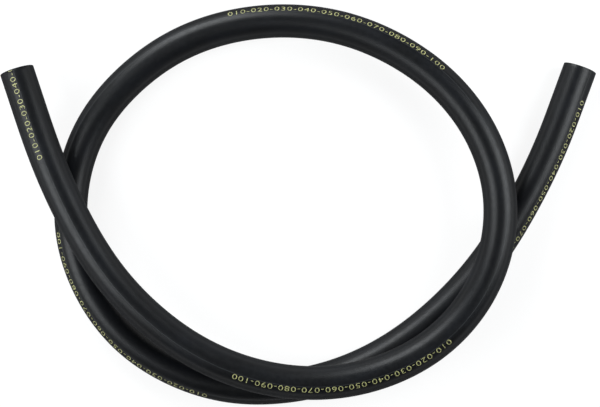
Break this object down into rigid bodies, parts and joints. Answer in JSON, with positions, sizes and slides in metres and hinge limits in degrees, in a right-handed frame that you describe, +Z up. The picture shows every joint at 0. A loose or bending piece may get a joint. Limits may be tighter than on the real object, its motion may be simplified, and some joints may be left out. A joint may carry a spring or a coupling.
{
  "type": "rubber hose length",
  "caption": "Cut length of black textile-reinforced rubber delivery hose, laid in one loop with its ends crossed over, with a bare bore at each square-cut end.",
  "frame": {"origin": "middle of the coil's bounding box, on the surface it lies on", "axes": "+X across the loop from the raised cut end's side to the lower one's, +Y the way both cut ends point, +Z up"},
  "size_m": [0.4758, 0.3219, 0.0541],
  "materials": {
    "cover_rubber": "satin",
    "lining_rubber": "satin",
    "yarn": "matte"
  },
  "bodies": {
    "root": {"inner_tube": "lining_rubber", "yarn_ply_inner": "yarn", "ply_interlayer": "lining_rubber", "yarn_ply_outer": "yarn", "outer_cover": "cover_rubber"}
  },
  "joints": []
}
